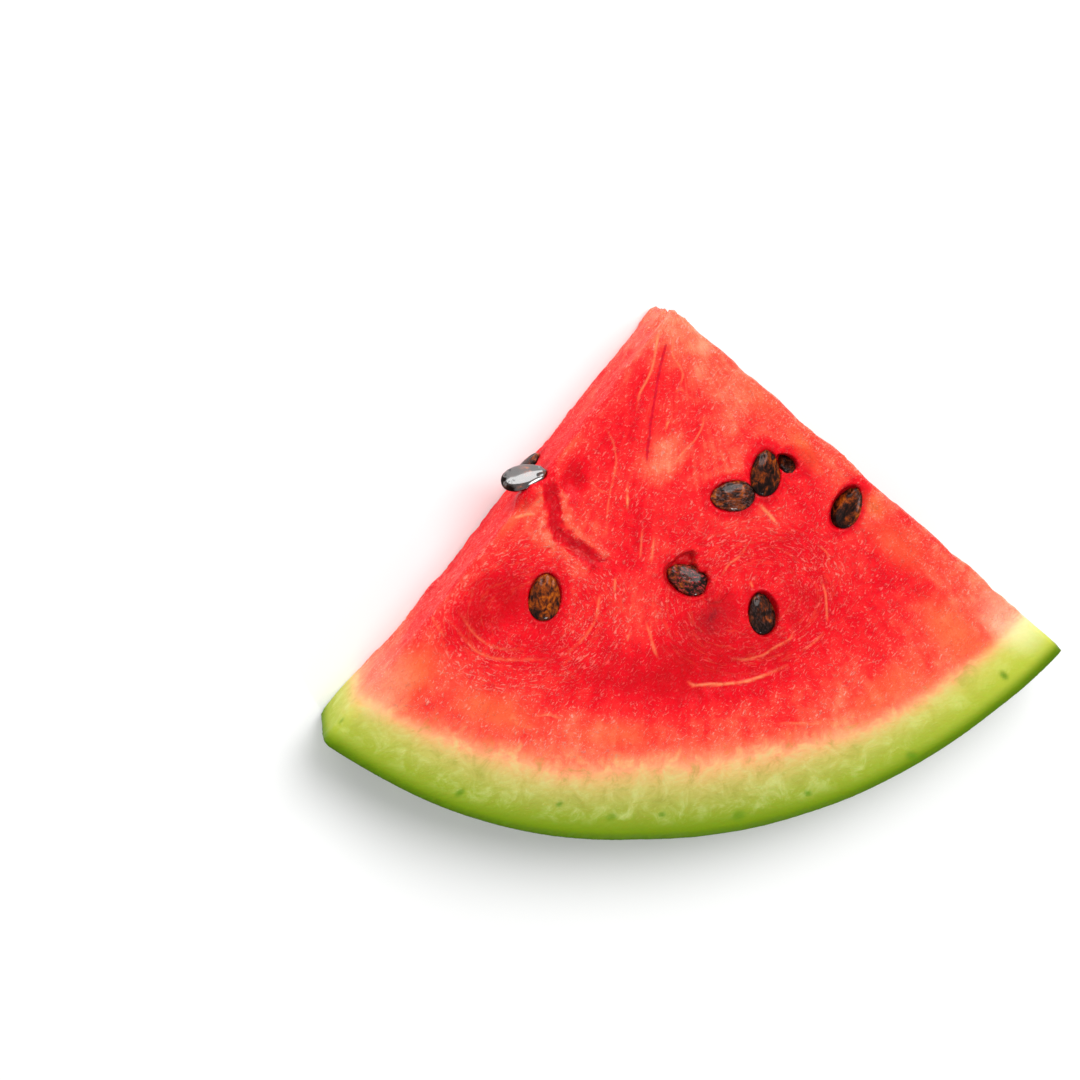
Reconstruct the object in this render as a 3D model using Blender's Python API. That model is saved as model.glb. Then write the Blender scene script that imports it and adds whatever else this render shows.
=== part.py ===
"""A wedge of watermelon: a quarter of a round slice, lying on its smaller cut face, with its seeds.

Frame: metres, +Z up. The origin is the bottom centre of the wedge's box. The wedge rests on the plane
z = 0, its point is towards +Y, and its rind curves towards -Y. The melon's own axis runs along Z
through the point of the wedge.

The flesh and rind grew as one piece, so they are one solid with an open socket for each seed. Each
seed is a piece of its own and has a small clearance all round it in its socket.
"""

import math

import bmesh
import bpy
from mathutils import Matrix, Vector

# Driving dimensions, in metres and degrees.
MELON_RADIUS = 0.120      # from the melon's axis to the skin, at the wedge's upper face
WEDGE_ANGLE = 88.5        # between the two straight cuts
THICKNESS = 0.024         # from the lower face to the upper one
KNIFE_EDGE = 0.0008       # the small rounding that juice and handling leave on a cut edge

SEED_LENGTH = 0.0104
SEED_WIDTH = 0.0069
SEED_DEPTH = 0.0025
SEED_TAPER = 0.20         # how much narrower a seed is at its pointed end
SOCKET_GAP = 0.0003       # clearance between a seed and the flesh around it
SOCKET_REACH = 0.006      # how far a socket's cutter runs on, out through the cut face

ARC_STEPS = 36
SKIN_STEPS = 5
SEED_SEGMENTS = 14
SEED_RINGS = 9

RED_FLESH = ((0.80, 0.06, 0.05), 0.35)
BROWN_SHELL = ((0.07, 0.025, 0.012), 0.25)

HALF_ANGLE = math.radians(WEDGE_ANGLE) / 2

# The rounding sets the point back a little, so the sharp point stands here to centre the box.
SET_BACK = KNIFE_EDGE * (1 / math.sin(HALF_ANGLE) - 1)
POINT_Y = (MELON_RADIUS + SET_BACK) / 2

# The way out of the flesh through each of its four cut faces.
OUTWARD = {
    "top": Vector((0, 0, 1)),
    "under": Vector((0, 0, -1)),
    "left": Vector((-math.cos(HALF_ANGLE), math.sin(HALF_ANGLE), 0)),
    "right": Vector((math.cos(HALF_ANGLE), math.sin(HALF_ANGLE), 0)),
}

# A seed's row: the cut face that shows it, its name there, its centre (distance from the melon's axis,
# degrees round from the middle of the wedge, height), where its pointed end looks (degrees from +X),
# how far that end dips, how far it is rolled about its own length, and its size against a full seed.
TOP = THICKNESS
SEEDS = [
    ("top", "amber", (0.0695, -29.8, TOP - 0.0004), 78, 0, 0, 1.02),
    ("top", "level", (0.0437, 12.6, TOP - 0.0002), 178, 0, 0, 0.97),
    ("top", "upright", (0.0420, 24.4, TOP + 0.0001), 83, 0, 8, 1.00),
    ("top", "tucked", (0.0440, 33.4, TOP - 0.0036), 214, -52, 20, 0.92),
    ("top", "outer", (0.0600, 36.6, TOP - 0.0008), 57, 0, -38, 0.95),
    ("top", "flapped", (0.0602, -2.0, TOP - 0.0014), 148, 6, 6, 0.94),
    ("top", "dark", (0.0713, 11.5, TOP - 0.0009), 96, 0, 14, 0.93),
    ("top", "sunken", (0.0700, 3.2, TOP - 0.0026), 55, 0, 0, 0.90),
    ("left", "proud", (0.0495, -47.3, TOP - 0.0026), 9, -10, -50, 1.00),
    ("left", "edge_on", (0.0470, -45.0, 0.0064), 46, -25, -80, 0.84),
    ("right", "flat", (0.0575, 43.6, 0.0125), -42, 0, 90, 0.98),
    ("right", "low", (0.0710, 43.55, 0.0078), -45, -38, 90, 0.94),
    ("under", "one", (0.0480, -24.0, 0.0016), 60, 0, 0, 1.00),
    ("under", "two", (0.0620, -33.0, 0.0021), 110, 0, 12, 0.96),
    ("under", "three", (0.0700, -14.0, 0.0017), 100, 0, -6, 1.02),
    ("under", "four", (0.0450, 5.0, 0.0018), 20, 0, 8, 0.95),
    ("under", "five", (0.0660, 12.0, 0.0016), 75, 0, 0, 0.98),
    ("under", "six", (0.0560, 27.0, 0.0022), 130, 0, -14, 0.93),
    ("under", "seven", (0.0730, 34.0, 0.0017), 50, 0, 5, 1.00),
]


def clear_scene():
    for obj in list(bpy.data.objects):
        bpy.data.objects.remove(obj, do_unlink=True)


def make_material(name, colour_and_roughness):
    colour, roughness = colour_and_roughness
    material = bpy.data.materials.new(name)
    material.use_nodes = True
    shader = material.node_tree.nodes["Principled BSDF"]
    shader.inputs["Base Color"].default_value = (*colour, 1.0)
    shader.inputs["Roughness"].default_value = roughness
    shader.inputs["Metallic"].default_value = 0.0
    return material


def add_object(name, bm, material):
    mesh = bpy.data.meshes.new(name)
    bm.to_mesh(mesh)
    bm.free()
    obj = bpy.data.objects.new(name, mesh)
    bpy.context.scene.collection.objects.link(obj)
    obj.data.materials.append(material)
    return obj


def polar(radius, degrees, height):
    """A point at this distance from the melon's axis; 0 degrees is the middle of the wedge."""
    angle = math.radians(degrees)
    return Vector((radius * math.sin(angle), POINT_Y - radius * math.cos(angle), height))


def skin_radius(height):
    """The melon is a ball: widest at the upper face, and a little smaller towards the lower one."""
    return math.sqrt(MELON_RADIUS ** 2 - (TOP - height) ** 2)


def cut_outline(degrees):
    """The straight cut at this angle: out along the bottom, up the skin and back to the axis."""
    heights = [TOP * step / SKIN_STEPS for step in range(SKIN_STEPS + 1)]
    skin = [(skin_radius(height), height) for height in heights]
    return [polar(radius, degrees, height) for radius, height in [(0, 0), *skin, (0, TOP)]]


def close_cut(bm, degrees):
    """Fills the straight cut at this angle with one face."""
    corners = [
        min(bm.verts, key=lambda vert, at=point: (vert.co - at).length)
        for point in cut_outline(degrees)
    ]
    bm.faces.new(corners)


def build_wedge(material):
    """One straight cut's outline, swept round the melon's axis to the other straight cut."""
    bm = bmesh.new()
    outline = [bm.verts.new(point) for point in cut_outline(-WEDGE_ANGLE / 2)]
    swept = [bm.edges.new(pair) for pair in zip(outline, outline[1:])]
    bmesh.ops.spin(
        bm,
        geom=[*outline, *swept],
        cent=(0.0, POINT_Y, 0.0),
        axis=(0.0, 0.0, 1.0),
        angle=2 * HALF_ANGLE,
        steps=ARC_STEPS,
    )
    bmesh.ops.remove_doubles(bm, verts=bm.verts, dist=1e-6)
    close_cut(bm, -WEDGE_ANGLE / 2)
    close_cut(bm, WEDGE_ANGLE / 2)
    bmesh.ops.recalc_face_normals(bm, faces=bm.faces)
    wedge = add_object("wedge", bm, material)
    edges = wedge.modifiers.new("knife_edges", "BEVEL")
    edges.width = KNIFE_EDGE
    edges.segments = 2
    edges.limit_method = "ANGLE"
    edges.angle_limit = math.radians(40)
    return wedge


def seed_form(place, scale, gap=0.0):
    """A flat egg, pointed towards its own +X, put in its place. The gap makes it larger all round."""
    bm = bmesh.new()
    bmesh.ops.create_uvsphere(bm, u_segments=SEED_SEGMENTS, v_segments=SEED_RINGS, radius=1.0)
    bmesh.ops.rotate(bm, verts=bm.verts, matrix=Matrix.Rotation(math.pi / 2, 3, "Y"))
    half = Vector((SEED_LENGTH, SEED_WIDTH, SEED_DEPTH)) * (scale / 2)
    for vert in bm.verts:
        narrower = 1 - SEED_TAPER * vert.co.x
        vert.co.x *= half.x + gap
        vert.co.y *= half.y * narrower + gap
        vert.co.z *= half.z * narrower + gap
    bmesh.ops.transform(bm, matrix=place, verts=bm.verts)
    bmesh.ops.recalc_face_normals(bm, faces=bm.faces)
    bm.normal_update()
    return bm


def seed_place(centre, heading, dip, roll):
    turned = (
        Matrix.Rotation(math.radians(heading), 4, "Z")
        @ Matrix.Rotation(math.radians(dip), 4, "Y")
        @ Matrix.Rotation(math.radians(roll), 4, "X")
    )
    return Matrix.Translation(polar(*centre)) @ turned


def cut_socket(wedge, place, scale, outward, name, material):
    """The seed's own shape and its clearance, run straight out through the cut face."""
    bm = seed_form(place, scale, SOCKET_GAP)
    outer_half = [vert for vert in bm.verts if vert.normal.dot(outward) > 0]
    bmesh.ops.translate(bm, verts=outer_half, vec=outward * SOCKET_REACH)
    cutter = add_object(name + "_socket", bm, material)
    cutter.hide_render = True
    cutter.display_type = "WIRE"
    socket = wedge.modifiers.new(cutter.name, "BOOLEAN")
    socket.operation = "DIFFERENCE"
    socket.object = cutter


def build_seed(wedge, row, material):
    face, name, centre, heading, dip, roll, scale = row
    full_name = f"seed_{face}_{name}"
    place = seed_place(centre, heading, dip, roll)
    seed = add_object(full_name, seed_form(place, scale), material)
    seed.data.shade_smooth()
    cut_socket(wedge, place, scale, OUTWARD[face], full_name, material)


def main():
    clear_scene()
    flesh = make_material("flesh_and_rind", RED_FLESH)
    shell = make_material("seed_shell", BROWN_SHELL)
    wedge = build_wedge(flesh)
    for row in SEEDS:
        build_seed(wedge, row, shell)


main()
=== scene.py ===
"""The looks of a watermelon wedge: wet red flesh in a green rind, with glossy seeds, on a pale floor."""

import math

import bpy
import numpy as np
from mathutils import Matrix, Vector, noise


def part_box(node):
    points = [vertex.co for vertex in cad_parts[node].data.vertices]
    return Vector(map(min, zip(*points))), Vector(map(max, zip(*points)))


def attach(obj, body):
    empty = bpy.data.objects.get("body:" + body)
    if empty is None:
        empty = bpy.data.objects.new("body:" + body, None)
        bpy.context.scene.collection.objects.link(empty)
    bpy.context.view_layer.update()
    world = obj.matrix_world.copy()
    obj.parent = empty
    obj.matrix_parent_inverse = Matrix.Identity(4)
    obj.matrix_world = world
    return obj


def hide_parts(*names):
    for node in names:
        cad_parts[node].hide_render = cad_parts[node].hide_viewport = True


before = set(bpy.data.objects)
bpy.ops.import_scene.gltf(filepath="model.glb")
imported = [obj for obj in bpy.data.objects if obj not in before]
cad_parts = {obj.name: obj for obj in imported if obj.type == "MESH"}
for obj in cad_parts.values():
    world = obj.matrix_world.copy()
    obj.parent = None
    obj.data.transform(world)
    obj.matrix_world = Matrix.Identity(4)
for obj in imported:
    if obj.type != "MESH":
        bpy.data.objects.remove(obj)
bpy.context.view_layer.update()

MM = 0.001

# The wedge, taken from its CAD solid: a ball of this radius about the heart, cut by four planes.
MELON_RADIUS = 120 * MM
WEDGE_ANGLE = 88.5
HALF_ANGLE = math.radians(WEDGE_ANGLE) / 2
LOW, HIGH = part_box("wedge")
TOP = HIGH.z
POINT_Y = LOW.y + MELON_RADIUS
HEART = Vector((0, POINT_Y, TOP))

UP = Vector((0, 0, 1))
LEFT = Vector((-math.cos(HALF_ANGLE), math.sin(HALF_ANGLE), 0))
RIGHT = Vector((math.cos(HALF_ANGLE), math.sin(HALF_ANGLE), 0))

# Mesh sizes. The upper face, which shows its cells best, is finer, and finest round its details.
CELL = 1.0 * MM
EDGE_ROUNDING = 1.2 * MM
RIDGE_ROUNDING = 3.0 * MM
FINE_BAND = 2.4 * MM
SEED_SEGMENTS = 44
SEED_RINGS = 30

# Points this near a seed (as a share of its size), a fibre or the split get the finest cells.
NEAR_SEED = 0.42
NEAR_FIBRE = 0.75 * MM
NEAR_SPLIT = 2.6 * MM

# A point within FACE_FULL of a cut's plane is wholly on that face, and past FACE_END it is off it.
FACE_FULL = 0.7 * MM
FACE_END = 1.6 * MM

# Under the skin the tissue is all rind down to RIND_END and all flesh from FLESH_START.
RIND_END = 11 * MM
FLESH_START = 18 * MM

LEFT_SWELL = 1.8 * MM      # how far the rind swells past the left cut
SKIN_SNAP = (1.0 * MM, 0.5 * MM)   # depths between which points are drawn onto the true skin

# The pits of the seeds.
SEED_GAP = 0.06 * MM       # between a seed and the flesh it is pressed in
PIT_FLARE = 2.4            # how steeply a pit's wall rises outside the seed
SEED_REACH = 10 * MM       # from a seed's centre to the last flesh that it moves
DEEPEST_PIT = 4.5 * MM
RIDGE_PIT = 6 * MM         # the same, for the seed on the left ridge
LIP_HEIGHT = 0.22          # in millimetres
LIP_PLACE = 0.16           # outside the seed's outline, as a share of its size
LIP_WIDTH = 0.09
THIN_LAP = 0.35            # how soft the edge of a thin lap is
THICK_LAP = 0.8            # and that of one over a millimetre thick
NARROW_HOLLOW = 1.6        # a hollow with a half width under this, in millimetres, is torn at its edges

# The worn point of the wedge.
NOTCH_DEPTH = 1.5          # in millimetres
NOTCH_HEIGHT = 0.62        # as a share of the wedge's thickness
NOTCH_SPREAD = 2.2 * MM


# --- Small helpers -------------------------------------------------------------------------------

def clear_selection():
    if bpy.context.object and bpy.context.object.mode != "OBJECT":
        bpy.ops.object.mode_set(mode="OBJECT")
    bpy.ops.object.select_all(action="DESELECT")


def added(name):
    """The object that an operator has just added, renamed, with its place put into its mesh."""
    piece = bpy.context.object
    piece.name = name
    piece.data.name = name
    bpy.ops.object.transform_apply(location=True, rotation=True, scale=True)
    return piece


def finish_modifiers(piece):
    bpy.context.view_layer.objects.active = piece
    for modifier in list(piece.modifiers):
        bpy.ops.object.modifier_apply(modifier=modifier.name)


def points_of(mesh):
    points = np.empty(len(mesh.vertices) * 3)
    mesh.vertices.foreach_get("co", points)
    return points.reshape(-1, 3)


def normals_of(mesh):
    normals = np.empty(len(mesh.vertices) * 3)
    mesh.vertices.foreach_get("normal", normals)
    return normals.reshape(-1, 3)


def move_points(mesh, points):
    mesh.vertices.foreach_set("co", points.ravel())
    mesh.update()


def write_attribute(mesh, name, values):
    kind = "FLOAT_VECTOR" if values.ndim == 2 else "FLOAT"
    attribute = mesh.attributes.new(name, kind, "POINT")
    attribute.data.foreach_set("vector" if values.ndim == 2 else "value", values.ravel())


def smooth(low, high, values):
    """0 below low, 1 above high and an easy slope between, as in a shader's smoothstep."""
    share = np.clip((values - low) / (high - low), 0, 1)
    return share * share * (3 - 2 * share)


def ripple(points, size, seed=0):
    """Even noise from -1 to 1 whose lumps are about this size; size may differ along X, Y and Z."""
    scaled = points / size + seed * 17.31
    return np.array([noise.noise(point) for point in scaled])


def turned(points, degrees):
    """The points turned about Z, for noise that runs in one direction."""
    angle = math.radians(degrees)
    cosine = math.cos(angle)
    sine = math.sin(angle)
    turn = np.array([[cosine, sine, 0], [-sine, cosine, 0], [0, 0, 1]])
    return points @ turn.T


def smooth_path(points, steps=6):
    """A smooth curve, in metres, through points given in millimetres."""
    stops = np.array(points, float) * MM
    stops = np.vstack([2 * stops[0] - stops[1], stops, 2 * stops[-1] - stops[-2]])
    path = []
    for before, start, end, after in zip(stops, stops[1:], stops[2:], stops[3:]):
        for share in np.linspace(0, 1, steps, endpoint=False):
            bend = 2 * start + (end - before) * share
            bend = bend + (2 * before - 5 * start + 4 * end - after) * share ** 2
            bend = bend + (3 * start - before - 3 * end + after) * share ** 3
            path.append(bend / 2)
    return np.array([*path, stops[-2]])


def reach(points, path):
    """For each point, its distance in plan from the path, and how far along it that is, 0 to 1."""
    nearest = np.full(len(points), np.inf)
    along = np.zeros(len(points))
    for number, (start, end) in enumerate(zip(path, path[1:])):
        run = end - start
        share = np.clip((points[:, :2] - start) @ run / (run @ run), 0, 1)
        gap = np.linalg.norm(points[:, :2] - start - share[:, None] * run, axis=1)
        closer = gap < nearest
        nearest[closer] = gap[closer]
        along[closer] = (number + share[closer]) / (len(path) - 1)
    return nearest, along


# --- Where the CAD seeds lie -----------------------------------------------------------------------

class SeedPlace:
    """A CAD seed's centre, its own directions (long, wide, deep) and its half sizes along them."""

    def __init__(self, node):
        points = np.unique(np.round(points_of(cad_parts[node].data), 7), axis=0)
        middle = points.mean(0)
        axes = np.linalg.svd(points - middle, full_matrices=False)[2]
        local = (points - middle) @ axes.T
        low, high = local.min(0), local.max(0)
        widest = local[np.argmax(np.abs(local[:, 1]))][0]
        if widest > (low[0] + high[0]) / 2:
            axes[0] = -axes[0]
        if axes[2] @ (0, 0, 1) < 0:
            axes[2] = -axes[2]
        axes[1] = np.cross(axes[2], axes[0])
        local = (points - middle) @ axes.T
        low, high = local.min(0), local.max(0)
        self.axes = axes
        self.half = (high - low) / 2
        self.centre = middle + (low + high) / 2 @ axes

    def carve(self, points, outward, gap, flare):
        """How far each point has to move along outward (below 0 is inward) to lie under the seed,
        and how far outside the seed's outline it is, as a share of the seed's size."""
        squeeze = self.axes / (self.half + gap)[:, None]
        start = (points - self.centre) @ squeeze.T
        way = squeeze @ np.array(outward)
        square = way @ way
        half_way = start @ way
        beside = (start * start).sum(1) - half_way ** 2 / square
        inner = np.sqrt(np.maximum(0, 1 - beside) / square)
        outside = np.sqrt(np.maximum(beside, 1)) - 1
        return -half_way / square - inner + flare * outside * self.half[1], outside


SEEDS = {node: SeedPlace(node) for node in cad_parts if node.startswith("seed_")}


# --- The wedge of flesh and rind -------------------------------------------------------------------

# Pale fibres on the upper face, in millimetres: width, strength and the points that they run through.
FIBRES = [
    (0.40, 0.7, [(-2.5, 58), (-4, 55), (-5, 52), (-6, 48.5), (-7.5, 45.5), (-9.5, 42.5), (-10.5, 39)]),
    (0.30, 0.6, [(-1, 54), (-1.5, 50.5), (0, 47.5), (0.5, 45.5), (-0.5, 43)]),
    (0.35, 0.6, [(-1.5, 42), (-0.5, 42.6), (0.5, 42)]),
    (0.40, 0.8, [(-3.5, 36), (-4.5, 34)]),
    (0.30, 0.5, [(4.5, 36.5), (4, 34), (2, 31), (-1, 28.5), (-3, 26)]),
    (0.30, 0.4, [(-18, 36), (-16.5, 33), (-16, 28.5), (-17, 24.5), (-18, 21.5), (-19, 17), (-19.5, 13)]),
    (0.28, 0.4, [(-18, 21.5), (-20, 22), (-22.5, 25)]),
    (0.40, 1.0, [(-14, 22.5), (-14.5, 17)]),
    (0.32, 0.5, [(-11.5, 12.5), (-12.5, 6)]),
    (0.36, 0.7, [(-9, 10.5), (-10, 5)]),
    (0.60, 1.0, [(15.5, 15), (17.5, 12.5), (19, 10.5)]),
    (0.45, 0.9, [(-40, 18), (-37, 18.6), (-35, 18.5)]),
    (0.40, 0.7, [(-60.5, 1), (-59.5, -2.5), (-57.5, -6.5)]),
    (0.45, 0.45, [(-56, -3), (-52, -9), (-49, -11.5), (-44.5, -13), (-40, -13.5), (-36, -14)]),
    (0.35, 0.35, [(-54, -1), (-50.5, -7), (-46, -10.2), (-40, -11.2)]),
    (0.45, 0.4, [(-32, -14), (-29, -12), (-26, -9.5), (-23.5, -6), (-22.5, -2)]),
    (0.40, 0.7, [(-18.5, 2.5), (-19, -1)]),
    (0.45, 0.5, [(-22.3, -1), (-23.5, -6)]),
    (0.34, 0.5, [(-11.5, -9.5), (-11.5, -14), (-10.5, -16.5)]),
    (0.36, 0.5, [(-16.5, -10.5), (-17, -12)]),
    (0.40, 0.5, [(-45.5, -27), (-44, -26), (-43, -28), (-39.5, -29)]),
    (0.40, 0.5, [(-39, -26.5), (-36, -26.5), (-33, -28)]),
    (0.40, 0.5, [(12, 6.5), (10, 4), (7.5, 2.5), (5.5, 0)]),
    (0.36, 0.55, [(28, -3), (29, -6.5), (29, -11), (29, -13)]),
    (0.32, 0.4, [(28, 4.5), (30, 2.5), (30.5, -0.5)]),
    (0.40, 0.6, [(12, -2), (12.5, -3.5)]),
    (0.50, 0.9, [(-4, -23), (-2.5, -24), (1, -24.2), (4.5, -24.5), (9, -24.5), (14, -23.5), (19, -22)]),
    (0.42, 0.5, [(6.5, -19), (9.5, -19.5), (13.5, -19), (16.5, -17.5), (20, -16), (21, -14)]),
    (0.36, 0.45, [(28, -15.5), (25.5, -17.5), (22.5, -19)]),
    (0.36, 0.5, [(-12.5, -8), (-11.5, -12.5), (-10.5, -16.5)]),
    (0.45, 0.5, [(15.5, -35), (20, -35.5), (24, -36), (28, -35.5)]),
    (0.35, 0.4, [(20, -35.5), (19.5, -38.5)]),
]

# The middle of the ragged split that runs down from the seed on the left ridge, in millimetres.
FURROW = [
    (-31, 26), (-31, 22.5), (-31, 19), (-30.8, 15),
    (-28.5, 12), (-25.5, 9.5), (-23.5, 7), (-23.8, 4.5),
]

# The split's hollows: centre, half length, half width, direction, depth and how much of the hollow is
# sloping wall.
HOLLOWS = [
    ((-30.6, 24.0), 3.4, 1.1, 80, 0.6, 1.0),
    ((-30.9, 18.6), 3.6, 0.8, 88, 0.7, 1.0),
    ((-30.2, 13.6), 2.4, 1.3, 70, 1.1, 0.9),
    ((-27.4, 10.6), 2.8, 0.9, -38, 1.0, 0.9),
    ((-24.2, 8.2), 2.4, 0.8, -50, 0.8, 0.9),
    ((-23.4, 4.8), 1.8, 0.6, 80, 0.5, 0.9),
    ((-20.6, 6.6), 1.6, 0.6, 10, 0.6, 0.7),
    ((-32.6, 10.4), 1.5, 0.6, 30, 0.6, 0.7),
]

# Dents in the upper face, given in the same way.
DENTS = [
    ((22.4, 23.6), 2.8, 1.9, -30, 3.3, 0.45),
    ((-3.4, 3.0), 4.6, 2.3, 45, 2.4, 0.45),
    ((22.3, 16.8), 3.6, 1.6, -60, 0.5, 1.0),
    ((41.2, 10.5), 3.8, 2.2, -50, 0.5, 1.0),
    ((-26.5, 25.0), 3.4, 5.0, 20, 0.8, 1.0),
    ((-50.0, 1.5), 9.0, 5.0, 30, 0.5, 1.0),
    ((5, -22), 15.0, 5.0, 5, 0.5, 1.0),
]

# Deep, wet and smooth patches on the upper face: centre, half length, half width, direction, strength. The
# two that follow the split are painted shade in it.
JUICY = [
    ((-47, -1), 14, 8, 35, 1.0),
    ((-38, -12), 14, 7, 10, 0.35),
    ((-26, 25), 9, 4.5, 65, 0.75),
    ((-17, 36), 12, 5, 70, 0.3),
    ((-10, 42), 12, 3, 78, 0.45),
    ((0, -20.5), 26, 12, 3, 0.80),
    ((0, -12), 9, 6, 0, 0.45),
    ((24, -9), 9, 8, 60, 0.45),
    ((27, -14), 11, 7, 20, 0.3),
    ((14, 3), 14, 6, 10, 0.25),
    ((-12, 14), 12, 4, 80, 0.25),
    ((-29.8, 18), 11, 2.6, 88, 0.7),
    ((-26, 8.8), 7, 2.2, -42, 0.7),
    ((-20, -22), 22, 8, -8, 0.3),
]
# Pale patches, where the flesh is frothy or dry.
PALE = [
    ((-5.5, 27.5), 9, 6, 40, 0.65),
    ((11.5, 36), 12, 6, 55, 0.7),
    ((8, 44), 14, 7, -45, 0.8),
    ((-27, 6), 7, 4, -40, 0.6),
    ((-34, 17), 9, 6, -60, 0.55),
    ((8, 25), 12, 5, 20, 0.45),
    ((-22, 14), 7, 4, -60, 0.4),
    ((12, 12), 16, 5, -5, 0.4),
    ((-9, 6), 10, 5, 80, 0.4),
    ((38, 3), 16, 10, -40, 0.25),
    ((52, -16), 18, 9, -30, 0.35),
    ((-13, -6), 12, 5, 80, 0.35),
    ((-55, 8), 14, 5, 45, 0.4),
]
# Smooth orange patches, where the flesh is thin over paler flesh.
ORANGE = [
    ((26.8, 25.8), 7.5, 2.6, -60, 1.0),
    ((41.8, 11.5), 5.0, 2.6, -55, 1.0),
    ((-42, 18), 7, 4.0, 45, 0.6),
    ((-27.5, 34.5), 6, 4.5, 40, 0.8),
    ((-66, -14), 11, 6, 40, 0.9),
    ((-48, -24), 13, 5, -25, 0.7),
    ((-22, -33), 14, 4, -8, 0.5),
    ((58, -19), 13, 6, -50, 0.8),
    ((42, -30), 14, 5, 30, 0.5),
    ((17, 39), 8, 4, -48, 0.3),
    ((47, 2), 12, 5, -46, 0.5),
]
# Where the flesh fades to cream beside the rind, at the two ends.
CREAM = [
    ((72, -18), 12, 7, -46, 1.0),
    ((-71, -16), 9, 6, 46, 0.6),
]
# A seed that lies just under the surface shows as a dim smudge: its core and the halo round it.
SMUDGE = [
    ((3.0, -8.6), 3.0, 1.9, 60, 0.75),
    ((2.5, -10.0), 7.0, 4.8, 30, 0.40),
]
# The ends of the veins in the rind.
VEINS = [
    ((-82, -22), 1.3, 0.8, 50, 0.9),
    ((-57.5, -41.5), 1.6, 0.9, 30, 0.9),
    ((-35.5, -47), 1.2, 0.8, 20, 0.9),
    ((-24, -51.5), 1.8, 1.2, 10, 0.6),
    ((-12.5, -52.5), 1.2, 0.8, 0, 0.9),
    ((5, -55), 2.2, 1.6, 0, 0.7),
    ((21.5, -52), 1.3, 0.8, -20, 0.9),
    ((46.5, -46.5), 2.2, 1.5, -30, 0.7),
    ((69.5, -30.5), 1.8, 1.0, -50, 0.9),
]

# How far the skin stands outside a true circle, in millimetres, by degrees round from the middle.
OUTLINE = [
    (-46, 2.6), (-37, 1.7), (-28, 1.3), (-18, 0.4), (-9, -0.8),
    (10, -1.2), (25, -1.2), (34, -0.7), (46, 0.9),
]

# Where flesh laps over a seed: centre, half length, half width, direction and thickness.
LAPS = {
    "seed_top_flapped": [((1.5, 4.0), 3.2, 1.5, 80, 0.5), ((4.0, -3.0), 3.2, 2.6, 60, 0.6)],
    "seed_left_proud": [((-35.9, 22.9), 5.4, 2.8, 25, 2.1)],
}
# Seeds that the flesh has closed over, so that they press no pit in it.
BURIED = {"seed_top_sunken", "seed_top_tucked"}


def patch(points, spot, soft=0.8):
    """1 in the middle of a soft oval patch, falling to 0 at its edge, times its strength."""
    (x, y), long, wide, degrees, strength = spot
    local = turned(points - np.array((x, y, 0)) * MM, degrees)
    far = np.hypot(local[:, 0] / (long * MM), local[:, 1] / (wide * MM))
    return strength * smooth(1.1, 1.1 - soft, far)


def patches(points, spots, soft=0.8):
    """The patches laid over each other, the strongest one showing."""
    return np.maximum.reduce([patch(points, spot, soft) for spot in spots])


def cut_wedge():
    """A ball, cut four times with a knife, its edges rounded, and remeshed into even cells."""
    clear_selection()
    bpy.ops.mesh.primitive_uv_sphere_add(
        segments=256, ring_count=128, radius=MELON_RADIUS, location=HEART
    )
    wedge = added("flesh_and_rind")
    bpy.ops.object.mode_set(mode="EDIT")
    for on_cut, outward in ((HEART, UP), (Vector(), -UP), (HEART, LEFT), (HEART, RIGHT)):
        bpy.ops.mesh.select_all(action="SELECT")
        bpy.ops.mesh.bisect(plane_co=on_cut, plane_no=outward, use_fill=True, clear_outer=True)
    bpy.ops.mesh.select_all(action="SELECT")
    bpy.ops.mesh.normals_make_consistent(inside=False)
    bpy.ops.object.mode_set(mode="OBJECT")
    rounding = wedge.modifiers.new("rounding", "BEVEL")
    rounding.width = EDGE_ROUNDING
    rounding.segments = 4
    rounding.limit_method = "ANGLE"
    rounding.angle_limit = math.radians(40)
    cells = wedge.modifiers.new("cells", "REMESH")
    cells.mode = "VOXEL"
    cells.voxel_size = CELL
    smoothing = wedge.modifiers.new("smoothing", "SMOOTH")
    smoothing.factor = 0.5
    smoothing.iterations = 4
    finish_modifiers(wedge)
    halve_cells(wedge, lambda points: points[:, 2] > TOP - FINE_BAND)
    halve_cells(wedge, near_details)
    return wedge


def near_details(points):
    """True for the points of the upper face by a seed, a fibre or the split."""
    near = np.zeros(len(points), bool)
    for node, seed in SEEDS.items():
        if "_top_" in node or node == "seed_left_proud":
            outside = seed.carve(points, UP, 0, 0)[1]
            near |= outside < NEAR_SEED
    for *_, route in FIBRES:
        near |= reach(points, smooth_path(route, 3))[0] < NEAR_FIBRE
    near |= reach(points, smooth_path(FURROW, 3))[0] < NEAR_SPLIT
    return near & (points[:, 2] > TOP - FINE_BAND)


def halve_cells(wedge, choose):
    """Splits every face whose corners are all chosen into four."""
    mesh = wedge.data
    chosen = choose(points_of(mesh))
    faces = [all(chosen[corner] for corner in face.vertices) for face in mesh.polygons]
    clear_selection()
    wedge.select_set(True)
    bpy.context.view_layer.objects.active = wedge
    bpy.ops.object.mode_set(mode="EDIT")
    bpy.ops.mesh.select_mode(type="FACE")
    bpy.ops.mesh.select_all(action="DESELECT")
    bpy.ops.object.mode_set(mode="OBJECT")
    mesh.polygons.foreach_set("select", faces)
    bpy.ops.object.mode_set(mode="EDIT")
    bpy.ops.mesh.subdivide(number_cuts=1)
    bpy.ops.object.mode_set(mode="OBJECT")


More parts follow.
